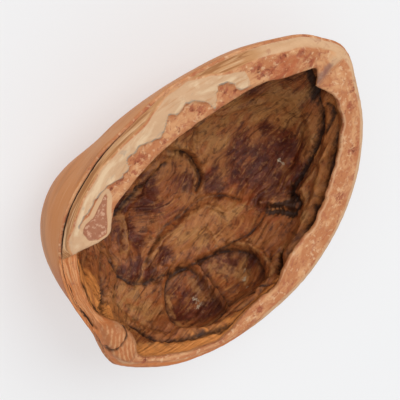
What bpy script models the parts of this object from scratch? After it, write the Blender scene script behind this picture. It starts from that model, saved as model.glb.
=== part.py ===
"""Half of an empty walnut shell, lying on its back with its hollow open upwards.

The half shell grew as one piece, so it is one solid. Lengths are in millimetres and angles in degrees
until the mesh is written, in metres. +X runs from the stalk end to the pointed tip, +Z is up, and the
origin lies on the ground under the middle of the shell.

Every point of the shell is placed as seen from the middle of its mouth: azimuth turns from the tip (0)
over +Y (90) to the stalk end (180), and dip looks down from the mouth (0) to the deepest point (90).
"""

import bmesh
import bpy
import numpy as np

MM = 0.001

# Driving sizes
RIM_HEIGHT = 16.5
BELLY_DEPTH = 17.1
WALL = 2.8
THINNEST_WALL = 1.0
SHOULDER_DROP = 1.6
CREST_INSET = 1.3

# How full the belly is: a high power is boxy, a low one runs straight to the tip
BELLY_POWER = 2.15
TIP_POWER_LOSS = 0.35

# Radius of the shoulder, the outer edge under the suture ridge, at each azimuth
SHOULDER = (
    (1, 22.7), (8, 21.9), (14, 21.2), (22, 19.7), (30, 18.5), (50, 16.5), (70, 15.8), (90, 16.0),
    (110, 17.6), (130, 19.6), (150, 21.2), (157, 21.6), (166, 21.8), (172, 22.15), (178.5, 23.2),
    (183, 23.55), (186, 23.3), (193, 22.5), (201, 21.6), (210, 20.3), (230, 17.8), (250, 16.4),
    (270, 16.0), (290, 16.3), (310, 17.4), (327, 18.9), (338, 20.1), (346, 20.9), (351, 21.6),
    (356, 22.5),
)

# Radius of the hollow's lip. Between 139 and 143 it steps out, where a piece of the rim has broken away
LIP = (
    (0, 16.8), (8, 17.3), (17, 15.5), (22.5, 14.75), (28, 13.95), (33, 13.2), (38, 12.4), (44, 11.75),
    (50, 11.3), (57, 10.95), (64, 10.75), (71, 10.6), (78, 10.7), (89, 11.0), (101, 11.6),
    (116, 12.9), (127, 14.3), (133, 14.7), (139, 15.4), (143, 18.6),
    (150, 18.7), (160, 19.0), (170, 19.0), (181, 19.5), (187, 20.4), (193, 20.4), (200, 19.4),
    (211, 18.3), (220, 16.9), (228, 15.0), (236, 13.9), (250, 13.1), (259, 11.7), (271, 11.3),
    (285, 11.8), (300, 12.3), (315, 13.0), (327, 14.4), (337, 16.0), (347, 17.0), (353, 17.5),
)

# Height of the rim over its plane: low in the fold at the tip and where it is chipped, high on the
# knob at the stalk end
RIM_LEVEL = (
    (3, -0.4), (12, 0.1), (40, 0.0), (90, 0.0), (136, 0.0), (145, -0.8), (163, -0.7), (172, 0.4),
    (182, 0.5), (191, -0.4), (205, -0.3), (235, -0.1), (270, 0.0), (320, 0.0), (354, 0.1),
)

# The rim from the shoulder to the lip: millimetres in from the shoulder, then the share of the way from
# the crest to the lip, and the height under the rim plane
RIM_PROFILE = (
    (0.00, 0.00, -SHOULDER_DROP),
    (0.50, 0.00, -SHOULDER_DROP + 0.10),
    (0.30, 0.00, -SHOULDER_DROP + 0.40),
    (0.65, 0.00, -0.45),
    (CREST_INSET, 0.00, 0.00),
    (CREST_INSET, 0.40, 0.00),
    (CREST_INSET, 0.75, -0.12),
    (CREST_INSET, 1.00, -0.40),
)

# Swellings and hollows of the outer wall: azimuth, dip, half width and height
SWELLINGS = (
    (137, 31, 34, 2.3),
    (106, 36, 20, -0.5),
    (60, 35, 34, -0.6),
    (225, 35, 34, 0.5),
    (0, 35, 30, -0.7),
)

# Shallow furrows from the stalk end to the tip
FURROW_DEPTH = 0.3
FURROWS_ROUND_BELLY = 8
FURROW_WANDER = 4.5
FURROWS_END_DIP = 25

# Bowls that the lobes of the kernel left in the wall: azimuth, dip, half length, half width, turn of the
# length from level, depth, and edge power, which is high where the border is crisp
BOWLS = (
    (335, 44, 27, 21, 10, 1.7, 2.0),
    (135, 81, 15, 18, 0, 1.1, 3.5),
    (168, 52, 16, 15, 0, 1.2, 2.4),
    (215, 26, 12.5, 15.5, 0, 1.7, 3.5),
    (239, 27, 13, 15, 20, 1.6, 3.5),
    (192, 26, 10, 12, 0, 0.7, 2.4),
    (280, 24, 15, 10, 0, 0.5, 2.0),
    (60, 34, 20, 16, 20, 1.4, 2.6),
    (105, 38, 18, 18, 0, 1.5, 2.6),
    (142, 30, 13, 14, 0, 1.0, 2.6),
    (12, 30, 14, 12, 0, 1.0, 2.2),
)

# Raised folds: the way of the crest as (azimuth, dip), half width and height
KEEL_FOLD = ((186, 44), (203, 54), (228, 60), (258, 57), (284, 47))
KEEL_FOLD_SIZE = (12.0, 1.3)
LINING_FOLD = ((352, 9), (336, 12), (318, 14), (300, 15), (284, 15), (266, 13))
LINING_FOLD_SIZE = (5.0, 0.9)

# Creases: the way as (azimuth, dip), half width and depth
CREASES = (
    (((173, 38), (187, 42), (202, 45), (215, 48), (231, 50), (250, 47), (272, 42), (288, 36)), 6.0, 0.7),
    (((181, 56), (194, 62), (213, 68), (250, 71)), 6.0, 0.45),
    (((346, 18), (336, 20), (318, 23), (300, 26), (291, 30)), 5.0, 0.8),
)

LIP_BLEND_DIP = 8.0

# Rows of the mesh from the belly, over the rim, into the hollow
SEGMENTS = 96
BELLY_ROWS = 18
HOLLOW_ROWS = 32
RIM_ROWS = len(RIM_PROFILE) - 1


def closed_curve(points, azimuth):
    """Values on a smooth closed curve through (azimuth, value) points."""
    known = np.array([a for a, _ in points], float)
    value = np.array([v for _, v in points], float)
    known = np.concatenate((known[-2:] - 360, known, known[:2] + 360))
    value = np.concatenate((value[-2:], value, value[:2]))
    slope = np.gradient(value, known)
    turn = np.asarray(azimuth, float) % 360
    i = np.clip(np.searchsorted(known, turn, side="right") - 1, 0, len(known) - 2)
    gap = known[i + 1] - known[i]
    t = (turn - known[i]) / gap
    start = (2 * t**3 - 3 * t**2 + 1) * value[i] + (t**3 - 2 * t**2 + t) * gap * slope[i]
    end = (3 * t**2 - 2 * t**3) * value[i + 1] + (t**3 - t**2) * gap * slope[i + 1]
    return start + end


def direction(azimuth, dip):
    """Unit vectors that look from the middle of the mouth along an azimuth and a dip."""
    a, d = np.radians(azimuth), np.radians(dip)
    return np.stack((np.cos(a) * np.cos(d), np.sin(a) * np.cos(d), -np.sin(d) + 0 * a), -1)


def smooth_bump(distance):
    """1 in the middle, falling smoothly to 0 at distance 1."""
    return np.clip(1 - distance**2, 0, 1) ** 2


def belly_radius(azimuth, dip):
    """The plain outer wall: an egg that runs to a point at the tip."""
    turn, d = np.radians(azimuth), np.radians(dip)
    power = BELLY_POWER - TIP_POWER_LOSS * np.cos(turn)
    across = np.cos(d) / closed_curve(SHOULDER, azimuth)
    down = np.sin(d) / BELLY_DEPTH
    radius = (across**power + down**power) ** (-1 / power)
    look = direction(azimuth, dip)
    for swell_azimuth, swell_dip, half_width, height in SWELLINGS:
        apart = np.degrees(np.arccos(np.clip(look @ direction(swell_azimuth, swell_dip), -1, 1)))
        radius = radius + height * smooth_bump(apart / half_width)
    return radius


def furrows(azimuth, dip):
    """Shallow wandering furrows that run from the stalk end to the tip."""
    look = direction(azimuth, dip)
    along = belly_radius(azimuth, dip) * look[..., 0]
    round_belly = np.arctan2(-look[..., 2], look[..., 1])
    wander = np.sin(along / FURROW_WANDER) + 0.6 * np.sin(along / 2.7 + 3 * round_belly)
    wave = np.sin(2 * FURROWS_ROUND_BELLY * round_belly + wander)
    patchy = 0.6 + 0.4 * np.sin(along / 6 + 5 * round_belly)
    clear_of_rest = np.clip((90 - dip) / FURROWS_END_DIP, 0, 1)
    return -FURROW_DEPTH * patchy * (0.5 + 0.5 * wave) * np.sin(np.radians(dip)) * clear_of_rest


def bowl_depth(look, azimuth, dip, half_length, half_width, turn, depth, edge_power):
    """Depth of one bowl, an ellipse on the wall with a crisp or a soft border."""
    middle = direction(azimuth, dip)
    level = direction(azimuth + 90, 0)
    upright = np.cross(level, middle)
    c, s = np.cos(np.radians(turn)), np.sin(np.radians(turn))
    along = look @ (c * level + s * upright) / np.sin(np.radians(half_length))
    across = look @ (c * upright - s * level) / np.sin(np.radians(half_width))
    ahead = look @ middle > 0
    return depth * np.clip(1 - np.hypot(along, across) ** edge_power, 0, 1) * ahead


def distance_to_way(look, way):
    """Angle from each direction to the nearest point of a way of (azimuth, dip) points."""
    nearest = np.full(look.shape[:-1], 4.0)
    stops = [direction(a, d) for a, d in way]
    for start, end in zip(stops, stops[1:]):
        step = end - start
        share = np.clip((look - start) @ step / (step @ step), 0, 1)
        nearest = np.minimum(nearest, np.linalg.norm(look - start - share[..., None] * step, axis=-1))
    return np.degrees(nearest)


def hollow_radius(azimuth, dip):
    """The inner wall: the belly's form less the wall, with bowls, raised folds and creases."""
    look = direction(azimuth, dip)
    outer = belly_radius(azimuth, dip)
    depth = np.zeros(look.shape[:-1])
    for bowl in BOWLS:
        depth = np.maximum(depth, bowl_depth(look, *bowl))
    for way, (half_width, height) in ((KEEL_FOLD, KEEL_FOLD_SIZE), (LINING_FOLD, LINING_FOLD_SIZE)):
        depth = depth - height * smooth_bump(distance_to_way(look, way) / half_width)
    for way, half_width, crease_depth in CREASES:
        depth = depth + crease_depth * smooth_bump(distance_to_way(look, way) / half_width)
    inner = outer - WALL + depth
    inner = np.minimum(inner, outer - THINNEST_WALL)
    t = np.clip(dip / LIP_BLEND_DIP, 0, 1)
    share = t * t * (3 - 2 * t)
    return share * inner + (1 - share) * closed_curve(LIP, azimuth)


def belly_point(azimuth, row):
    """A point of the outer wall, from the deepest point (row 0) up to the shoulder."""
    shoulder_dip = np.degrees(np.arctan2(SHOULDER_DROP, closed_curve(SHOULDER, azimuth)))
    dip = 90 - (90 - shoulder_dip) * row / BELLY_ROWS
    radius = belly_radius(azimuth, dip) + furrows(azimuth, dip)
    return radius[..., None] * direction(azimuth, dip)


def rim_point(azimuth, row):
    """A point of the rim, from the shoulder (row 0) over the suture ridge to the hollow's lip."""
    stations = np.arange(len(RIM_PROFILE))
    inset = np.interp(row, stations, [p[0] for p in RIM_PROFILE])
    to_lip = np.interp(row, stations, [p[1] for p in RIM_PROFILE])
    height = np.interp(row, stations, [p[2] for p in RIM_PROFILE])
    shoulder = np.hypot(*np.moveaxis(belly_point(azimuth, BELLY_ROWS)[..., :2], -1, 0))
    crest_to_lip = shoulder - CREST_INSET - closed_curve(LIP, azimuth)
    radius = shoulder - inset - to_lip * crest_to_lip
    lifted = np.clip(1 + height / SHOULDER_DROP, 0, 1)
    height = height + closed_curve(RIM_LEVEL, azimuth) * lifted
    level = direction(azimuth, 0)
    return radius[..., None] * level + height[..., None] * np.array([0, 0, 1.0])


def hollow_point(azimuth, row):
    """A point of the inner wall, from the lip (row 0) down to the deepest point."""
    dip = 90 * row / HOLLOW_ROWS
    point = hollow_radius(azimuth, dip)[..., None] * direction(azimuth, dip)
    lip = rim_point(azimuth, np.full(np.shape(azimuth), float(RIM_ROWS)))
    fade = np.clip(1 - dip / (2 * LIP_BLEND_DIP), 0, 1)
    point[..., 2] += fade * lip[..., 2]
    return point


def shell_point(azimuth, row):
    """Where a vertex of the sphere goes: belly, then rim, then hollow."""
    on_belly = row < BELLY_ROWS
    on_rim = (row >= BELLY_ROWS) & (row <= BELLY_ROWS + RIM_ROWS)
    belly = belly_point(azimuth, np.clip(row, 0, BELLY_ROWS))
    rim = rim_point(azimuth, np.clip(row - BELLY_ROWS, 0, RIM_ROWS))
    hollow = hollow_point(azimuth, np.clip(row - BELLY_ROWS - RIM_ROWS, 0, HOLLOW_ROWS))
    point = np.where(on_belly[:, None], belly, np.where(on_rim[:, None], rim, hollow))
    point[:, 2] = np.maximum(point[:, 2] + RIM_HEIGHT, 0)
    return point


def shell_mesh():
    """A sphere pressed into a bowl: its lower half is the belly, a belt the rim and its top the hollow."""
    rows = BELLY_ROWS + RIM_ROWS + HOLLOW_ROWS
    bm = bmesh.new()
    bmesh.ops.create_uvsphere(bm, u_segments=SEGMENTS, v_segments=rows, radius=1)
    mesh = bpy.data.meshes.new("walnut_half_shell")
    bm.to_mesh(mesh)
    bm.free()
    place = np.empty(len(mesh.vertices) * 3)
    mesh.vertices.foreach_get("co", place)
    x, y, z = place.reshape(-1, 3).T
    azimuth = np.degrees(np.arctan2(y, x)) % 360
    row = np.round((np.degrees(np.arcsin(np.clip(z, -1, 1))) + 90) / 180 * rows)
    point = shell_point(azimuth, row)
    point[:, :2] -= (point[:, :2].min(0) + point[:, :2].max(0)) / 2
    mesh.vertices.foreach_set("co", (point * MM).ravel())
    mesh.update()
    return mesh


def shell_material():
    """Tan-brown shell, dry and a little rough."""
    material = bpy.data.materials.new("walnut_shell")
    material.use_nodes = True
    surface = material.node_tree.nodes["Principled BSDF"]
    surface.inputs["Base Color"].default_value = (0.45, 0.22, 0.10, 1)
    surface.inputs["Roughness"].default_value = 0.55
    surface.inputs["Metallic"].default_value = 0
    return material


def build():
    for old in list(bpy.data.objects):
        bpy.data.objects.remove(old)
    parts = bpy.data.collections.new("walnut_shell")
    bpy.context.scene.collection.children.link(parts)
    shell = bpy.data.objects.new("walnut_half_shell", shell_mesh())
    shell.data.materials.append(shell_material())
    shell.data.shade_smooth()
    parts.objects.link(shell)


build()
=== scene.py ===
# %% [markdown]
# # Half of an empty walnut shell
# The nut has been split along its seam and the kernel is gone. The half shell lies on its back with the
# hollow open upwards. It grew as one piece, so it is one mesh here as well. This lesson takes the plain form
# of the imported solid, makes it again with far smaller faces, cuts the finer folds and cracks into it, and
# gives it three finishes: the smooth outer skin, the split seam, and the brown lining that held the kernel.
#
# Lengths are in millimetres and angles in degrees until the mesh is written, in metres. A place on the shell
# is named as seen from the middle of its mouth: azimuth turns from the pointed tip (0) over +Y (90) to the
# stalk end (180), and dip looks down from the mouth (0) to the deepest point (90).

import bmesh
import bpy
import numpy as np
from mathutils import Matrix, Vector


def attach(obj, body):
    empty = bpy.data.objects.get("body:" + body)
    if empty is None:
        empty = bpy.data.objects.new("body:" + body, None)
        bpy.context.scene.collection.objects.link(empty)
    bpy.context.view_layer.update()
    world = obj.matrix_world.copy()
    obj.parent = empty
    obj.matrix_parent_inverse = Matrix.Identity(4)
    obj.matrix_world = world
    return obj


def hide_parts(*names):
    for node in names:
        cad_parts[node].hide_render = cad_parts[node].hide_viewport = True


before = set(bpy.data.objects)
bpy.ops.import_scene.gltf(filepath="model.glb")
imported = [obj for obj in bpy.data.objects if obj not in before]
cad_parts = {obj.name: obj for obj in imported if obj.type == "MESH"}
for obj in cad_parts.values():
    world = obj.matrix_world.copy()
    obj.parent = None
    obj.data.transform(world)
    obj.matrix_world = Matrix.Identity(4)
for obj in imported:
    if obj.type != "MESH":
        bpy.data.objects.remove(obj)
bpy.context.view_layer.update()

MM = 0.001

# %% [markdown]
# ## The plain form
# A walnut half is an egg with a point at one end. It could be sculpted, but a rule keeps it the same size as
# the solid: the outer wall is a rounded curve from the deepest point up to the shoulder, and the inner wall
# follows it about 3 mm further in, pressed deeper where the lobes of the kernel lay.

# %% Driving sizes: the solid's own, with a finer lip and seam level
RIM_HEIGHT = 16.5
BELLY_DEPTH = 17.1
WALL = 2.8
THINNEST_WALL = 1.0
SHOULDER_DROP = 1.6
CREST_INSET = 1.3
BELLY_POWER = 2.15
TIP_POWER_LOSS = 0.35

# Radius of the shoulder, the outer edge under the seam, at each azimuth
SHOULDER = (
    (1, 22.7), (8, 21.9), (14, 21.2), (22, 19.7), (30, 18.5), (50, 16.5), (70, 15.8), (90, 16.0),
    (110, 17.6), (130, 19.6), (150, 21.2), (157, 21.6), (166, 21.8), (172, 22.15), (178.5, 23.2),
    (183, 23.55), (186, 23.3), (193, 22.5), (201, 21.6), (210, 20.3), (230, 17.8), (250, 16.4),
    (270, 16.0), (290, 16.3), (310, 17.4), (327, 18.9), (338, 20.1), (346, 20.9), (351, 21.6),
    (356, 22.5),
)

# Radius of the hollow's lip. A piece of the seam has broken away past 138 degrees, so the lip jumps out
LIP = (
    (0, 16.9), (2.6, 17.7), (5, 18.4), (7.6, 17.75), (10.2, 17.05), (17, 15.5), (22.5, 14.75),
    (28, 13.95), (33, 13.2), (38, 12.4), (44, 11.75), (50, 11.3), (57, 10.95), (64, 10.75), (71, 10.6),
    (78, 10.7), (89, 11.0), (101, 11.6), (116, 12.9), (127, 14.3), (133, 14.65), (137, 14.9),
    (138.6, 15.4), (139.5, 16.4), (140.3, 17.8), (141.3, 18.6), (144, 18.95), (150, 19.4), (159, 19.85),
    (165, 20.0), (168, 19.8), (171, 19.2), (175, 18.95), (179, 19.1), (182, 19.6), (184.5, 20.5),
    (187, 21.0), (190.5, 20.85), (198, 19.9), (205, 19.0), (211, 18.3), (220, 16.9), (228, 15.0),
    (236, 13.9), (250, 13.1), (259, 11.7), (271, 11.3), (285, 11.8), (300, 12.3), (313, 13.2),
    (324, 14.1), (331, 15.2), (335.6, 15.8), (341, 16.75), (347, 17.15), (351.2, 17.5), (355.6, 17.25),
)

# Height of the seam over its plane: low in the fold at the tip, high on the knob at the stalk end
RIM_LEVEL = (
    (3, -0.25), (12, 0.1), (40, 0.0), (90, 0.0), (125, 0.05), (138, 0.1), (145, 0.0), (163, -0.1),
    (172, 0.3), (182, 0.4), (191, -0.4), (205, -0.3), (235, -0.1), (270, 0.0), (320, 0.0), (354, 0.1),
)

# Swellings and hollows of the outer wall: azimuth, dip, half width and height
SWELLINGS = (
    (137, 31, 34, 2.3), (106, 36, 20, -0.5), (60, 35, 34, -0.6), (225, 35, 34, 0.5), (0, 35, 30, -0.7),
)

# Shallow furrows from the stalk end to the tip
FURROW_DEPTH = 0.3
FURROWS_ROUND_BELLY = 8
FURROW_WANDER = 4.5
FURROWS_END_DIP = 25

# Broad bowls that the lobes of the kernel left: azimuth, dip, half length, half width, turn of the length
# from level, depth, and edge power, which is high where the border is crisp. The two crispest bowls of
# the solid aren't here, because they are made from their outlines further on
BOWLS = (
    (335, 44, 27, 21, 10, 1.7, 2.0), (135, 81, 15, 18, 0, 1.1, 3.5), (168, 52, 16, 15, 0, 1.2, 2.4),
    (192, 26, 10, 12, 0, 0.7, 2.4), (280, 24, 15, 10, 0, 0.5, 2.0), (60, 34, 20, 16, 20, 1.4, 2.6),
    (105, 38, 18, 18, 0, 1.5, 2.6), (142, 30, 13, 14, 0, 1.0, 2.6), (12, 30, 14, 12, 0, 1.0, 2.2),
)

# Raised folds: the way of the crest as (azimuth, dip), then half width and height
FOLDS = (
    (((186, 44), (203, 54), (228, 60), (258, 57), (284, 47)), 12.0, 1.3),
    (((352, 9), (336, 12), (318, 14), (300, 15), (284, 15), (266, 13)), 5.0, 0.9),
)
LIP_BLEND_DIP = 8.0

# %% Rules of the plain form
def closed_curve(points, azimuth):
    """Values on a smooth closed curve through (azimuth, value) points."""
    known, value = np.array(points, float).T
    known = np.concatenate((known[-2:] - 360, known, known[:2] + 360))
    value = np.concatenate((value[-2:], value, value[:2]))
    slope = np.gradient(value, known)
    turn = np.asarray(azimuth, float) % 360
    i = np.clip(np.searchsorted(known, turn, side="right") - 1, 0, len(known) - 2)
    gap = known[i + 1] - known[i]
    t = (turn - known[i]) / gap
    start = (2 * t**3 - 3 * t**2 + 1) * value[i] + (t**3 - 2 * t**2 + t) * gap * slope[i]
    end = (3 * t**2 - 2 * t**3) * value[i + 1] + (t**3 - t**2) * gap * slope[i + 1]
    return start + end


def direction(azimuth, dip):
    """Unit vectors that look from the middle of the mouth along an azimuth and a dip."""
    a, d = np.broadcast_arrays(np.radians(azimuth), np.radians(dip))
    return np.stack((np.cos(a) * np.cos(d), np.sin(a) * np.cos(d), -np.sin(d)), -1)


def smooth_bump(distance):
    """1 in the middle, falling smoothly to 0 at distance 1."""
    return np.clip(1 - distance**2, 0, 1) ** 2


def ease(value, low=0.0, high=1.0):
    """0 at low and 1 at high, with an S-shaped rise between them. Low may be the larger of the two."""
    t = np.clip((value - low) / (high - low), 0, 1)
    return t * t * (3 - 2 * t)


def angle_between(look, azimuth, dip):
    """Degrees between each direction and one place."""
    return np.degrees(np.arccos(np.clip(look @ direction(azimuth, dip), -1, 1)))


def belly_radius(azimuth, dip):
    """The plain outer wall: an egg that runs to a point at the tip."""
    d = np.radians(dip)
    power = BELLY_POWER - TIP_POWER_LOSS * np.cos(np.radians(azimuth))
    across = np.cos(d) / closed_curve(SHOULDER, azimuth)
    down = np.sin(d) / BELLY_DEPTH
    radius = (across**power + down**power) ** (-1 / power)
    look = direction(azimuth, dip)
    for swell_azimuth, swell_dip, half_width, height in SWELLINGS:
        radius = radius + height * smooth_bump(angle_between(look, swell_azimuth, swell_dip) / half_width)
    return radius


def furrows(azimuth, dip):
    """Shallow wandering furrows that run from the stalk end to the tip."""
    look = direction(azimuth, dip)
    along = belly_radius(azimuth, dip) * look[..., 0]
    round_belly = np.arctan2(-look[..., 2], look[..., 1])
    wander = np.sin(along / FURROW_WANDER) + 0.6 * np.sin(along / 2.7 + 3 * round_belly)
    wave = np.sin(2 * FURROWS_ROUND_BELLY * round_belly + wander)
    patchy = 0.6 + 0.4 * np.sin(along / 6 + 5 * round_belly)
    clear_of_rest = np.clip((90 - dip) / FURROWS_END_DIP, 0, 1)
    return -FURROW_DEPTH * patchy * (0.5 + 0.5 * wave) * np.sin(np.radians(dip)) * clear_of_rest


# %% [markdown]
# ## A grid that is pressed into a bowl
# The mesh starts as a sphere. Its lower half becomes the belly, a belt round its middle the seam, and its
# upper half the hollow, so the wall is closed and watertight without any stitching. The segments stand closer
# together at the stalk end, where the seam has broken and the finest shapes are.

# %% Rows and segments
SEGMENTS = 384
BELLY_ROWS, RIM_ROWS, HOLLOW_ROWS = 52, 64, 140
CROWDED_AZIMUTH, CROWDED_HALF_WIDTH, CROWDING = 160, 65, 0.9


def turn_between(azimuth, other):
    """The smaller angle between azimuths."""
    return np.abs((azimuth - other + 180) % 360 - 180)


fine_turn = np.arange(0, 360, 0.1)
crowding = 1 + CROWDING * smooth_bump(turn_between(fine_turn, CROWDED_AZIMUTH) / CROWDED_HALF_WIDTH)
share_of_turn = np.concatenate(((0,), np.cumsum(crowding))) / crowding.sum()
turn = np.interp(np.arange(SEGMENTS) / SEGMENTS, share_of_turn, np.append(fine_turn, 360))[None, :]
print("segments:", SEGMENTS, "finest", round(float(np.diff(turn[0]).min()), 2), "degrees")


def ragged(seed, place, size):
    """Smooth noise from -1 to 1 along a line, with swings of about the given size."""
    knots = np.random.default_rng(seed).uniform(-1, 1, 997)
    step = np.asarray(place, float) / size
    first = np.floor(step).astype(int)
    t = step - first
    t = t * t * (3 - 2 * t)
    return knots[first % 997] * (1 - t) + knots[(first + 1) % 997] * t


# Length along the seam from the tip, for patterns that run along it
seam_radius = closed_curve(SHOULDER, turn[0]) - 3
seam_point = seam_radius[:, None] * direction(turn[0], 0)[:, :2]
seam_step = np.linalg.norm(seam_point - np.roll(seam_point, 1, 0), axis=1)
seam_step[0] = 0
seam_length = np.cumsum(seam_step)[None, :]
print("seam, mm round:", round(float(seam_length[0, -1]), 1))

# %% [markdown]
# ## The belly
# The outer skin of a walnut shell is smooth and only gently furrowed. It was formed as a rule in the solid
# and stays so, with more rows.

# %% Belly rows
shoulder_dip = np.degrees(np.arctan2(SHOULDER_DROP, closed_curve(SHOULDER, turn)))
belly_dip = 90 - (90 - shoulder_dip) * np.arange(BELLY_ROWS + 1)[:, None] / BELLY_ROWS
belly_reach = belly_radius(turn, belly_dip) + furrows(turn, belly_dip)
belly = belly_reach[..., None] * direction(turn, belly_dip)
print("belly rows:", belly.shape[0])

# %% [markdown]
# ## The split seam
# The seam is the broad face on which the two halves met. From outside to inside it has a groove darkened
# with painted shade, a slope with thin dark lines along it, a smooth cream layer with a jagged inner border,
# and a rougher orange-pink band that ends at the lip. Each is a share of the way across, so the rows follow
# them round.

# %% Seam profile and the parts of it that vary
# How open the groove under the seam is at each azimuth, and how dark the painted shade in it is
GROOVE = (
    (0, 0.35), (30, 0.15), (60, 0.15), (90, 0.35), (110, 0.8), (140, 1.0), (165, 1.0), (178, 0.5),
    (200, 0.7), (225, 0.75), (250, 0.45), (280, 0.3), (310, 0.4), (340, 0.45),
)
# Stations across the seam: share of its rows, mm in from the shoulder and how much the groove adds to it,
# share of the way from crest to lip, and height over the seam's plane
SEAM_STATIONS = (
    (0.00, 0.00, 0.00, 0.00, -1.60),
    (0.05, 0.05, 0.02, 0.00, -1.47),
    (0.09, 0.16, 0.42, 0.00, -1.41),
    (0.13, 0.15, 0.55, 0.00, -1.28),
    (0.18, 0.20, 0.06, 0.00, -1.08),
    (0.26, 0.55, 0.00, 0.00, -0.52),
    (0.35, 1.22, 0.00, 0.00, -0.06),
    (0.42, 1.30, 0.00, 0.12, 0.03),
    (0.88, 1.30, 0.00, 0.87, -0.08),
    (0.95, 1.30, 0.00, 0.97, -0.20),
    (1.00, 1.30, 0.00, 1.00, -0.42),
)
# Share of the way from crest to lip at which the cream layer ends in a jagged border
CREAM_BORDER = (
    (29, 0.8), (34, 0.85), (37, 0.77), (40, 0.64), (41, 0.45), (46, 0.32), (49, 0.28), (50, 0.52),
    (52, 0.88), (54, 0.74), (56, 0.55), (59, 0.39), (62, 0.27), (66, 0.2), (68.5, 0.3), (72, 0.42),
    (75.5, 0.21), (80, 0.38), (86, 0.55), (90.5, 0.43), (95, 0.29), (101.5, 0.29), (107, 0.53),
    (111.6, 0.53), (114.6, 0.36), (117.5, 0.34), (121.3, 0.25), (126, 0.20), (131, 0.12), (135, 0.25),
    (137.2, 0.52), (139.5, 0.95), (145, 0.95),
)
# Where the cream layer starts, outside
CREAM_START = (
    (28, 0.9), (33.5, 0.55), (36, 0.20), (43, 0.07), (49, -0.05), (51, -0.12), (61, -0.25), (71, -0.24),
    (86, -0.10), (139, -0.10), (150, -0.1),
)
# The end of the whole part of the seam, past which a piece has broken away: radius and azimuth
BREAK_EDGE = ((14.9, 137.6), (15.75, 139.0), (17.2, 139.8), (18.95, 140.6), (19.6, 141.2), (20.65, 142.4),
              (21.3, 143.4))
BREAK_DROP = 0.85
BREAK_END = (167, 173)
CREAM_STEP = 0.22
LIP_RAGGED = ((0, 0.12), (20, 0.07), (60, 0.06), (130, 0.05), (145, 0.1), (190, 0.15), (230, 0.2), (340, 0.2))


def blur_rows(values, passes):
    """Rounds the corners of a profile, row by row, and leaves its ends where they are."""
    for _ in range(passes):
        values[1:-1] = values[1:-1] / 2 + (values[:-2] + values[2:]) / 4
    return values


lip = closed_curve(LIP, turn)
lip_raggedness = closed_curve(LIP_RAGGED, turn)
lip = lip + lip_raggedness * (ragged(11, seam_length, 1.7) * 0.7 + ragged(12, seam_length, 0.6) * 0.4)
shoulder = np.hypot(belly[-1:, :, 0], belly[-1:, :, 1])
crest = shoulder - CREST_INSET
band_width = crest - lip

rim_share = np.linspace(0, 1, RIM_ROWS + 1)[:, None]
station_share = [station[0] for station in SEAM_STATIONS]
weights = np.stack([np.interp(rim_share[:, 0], station_share, row) for row in np.eye(len(SEAM_STATIONS))], 1)
_, inset, groove_inset, to_lip, level = np.array(SEAM_STATIONS).T
groove = closed_curve(GROOVE, turn)
inset = blur_rows(weights @ (inset[:, None] + groove_inset[:, None] * groove), 2)
to_lip = blur_rows((weights @ to_lip)[:, None] * np.ones_like(turn), 2)
level = blur_rows((weights @ level)[:, None] * np.ones_like(turn), 2)
rim_radius = shoulder - inset - to_lip * band_width
# 0 on the crest, 1 at the lip, and below 0 on the slope outside the crest
across_seam = (crest - rim_radius) / band_width
print("seam, mm wide:", round(float(band_width.min()), 1), "to", round(float(band_width.max()), 1))

# %% Cream layer, broken piece, fold at the tip and knob
# Stretches of the way round: the azimuths over which each comes in, and those over which it goes out
CREAM_SIDE = ((28, 34), (141, 144))
DULL_SIDE = ((30, 40), (215, 250))
STRIPED_SIDE = ((26, 40), (205, 235))
STALK_SIDE = ((140, 152), (215, 240))
RIGHT_SIDE = ((235, 280), (352, 358))
BARE_UNDER_BREAK = ((128, 146), (176, 186))
BARE_RIGHT_WALL = ((176, 190), (348, 357))


def stretch(comes_in, goes_out):
    """1 on a stretch of the way round and 0 off it, with soft ends."""
    return ease(turn, *comes_in) * (1 - ease(turn, *goes_out))


# Degrees over which the seam drops at the break
BREAK_SOFTNESS = (-0.35, 0.55)
# The step at the border of the cream layer, the low bead just inside it, and the seam's slow rise and
# fall, in mm
CREAM_STEP_SPAN = (-0.02, 0.16)
BEAD_HEIGHT, BEAD_INSET, BEAD_HALF_WIDTH = 0.06, 0.25, 0.35
WAVE_HEIGHT, WAVE_LENGTH = 0.07, 3.0

on_cream_side = stretch(*CREAM_SIDE)
border = np.interp(turn, *np.array(CREAM_BORDER).T)
jagged = 0.05 * ragged(21, seam_length, 0.9) + 0.035 * ragged(22, seam_length, 0.35)
border = border + jagged * on_cream_side
past_cream = (across_seam - border) * band_width
start = np.interp(turn, *np.array(CREAM_START).T) + 0.03 * ragged(23, seam_length, 1.5)
before_cream = (start - across_seam) * band_width

edge_turn = np.interp(rim_radius, *np.array(BREAK_EDGE).T)
broken = ease(turn - edge_turn, *BREAK_SOFTNESS) * (1 - ease(turn, *BREAK_END))
lifted = np.clip(1 + level / SHOULDER_DROP, 0, 1)

rim_height = level + closed_curve(RIM_LEVEL, turn) * lifted
rim_height = rim_height - BREAK_DROP * broken * ease(lifted, 0.1, 0.75)
cream_step = CREAM_STEP * ease(past_cream, *CREAM_STEP_SPAN) * (1 - 0.5 * ease(to_lip, 0.6, 0.95))
bead = BEAD_HEIGHT * smooth_bump((past_cream + BEAD_INSET) / BEAD_HALF_WIDTH)
rim_height = rim_height + (bead - cream_step) * on_cream_side
rim_height = rim_height + WAVE_HEIGHT * ragged(24, seam_length, WAVE_LENGTH) * lifted

rim_x = rim_radius * np.cos(np.radians(turn))
rim_y = rim_radius * np.sin(np.radians(turn))
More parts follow.
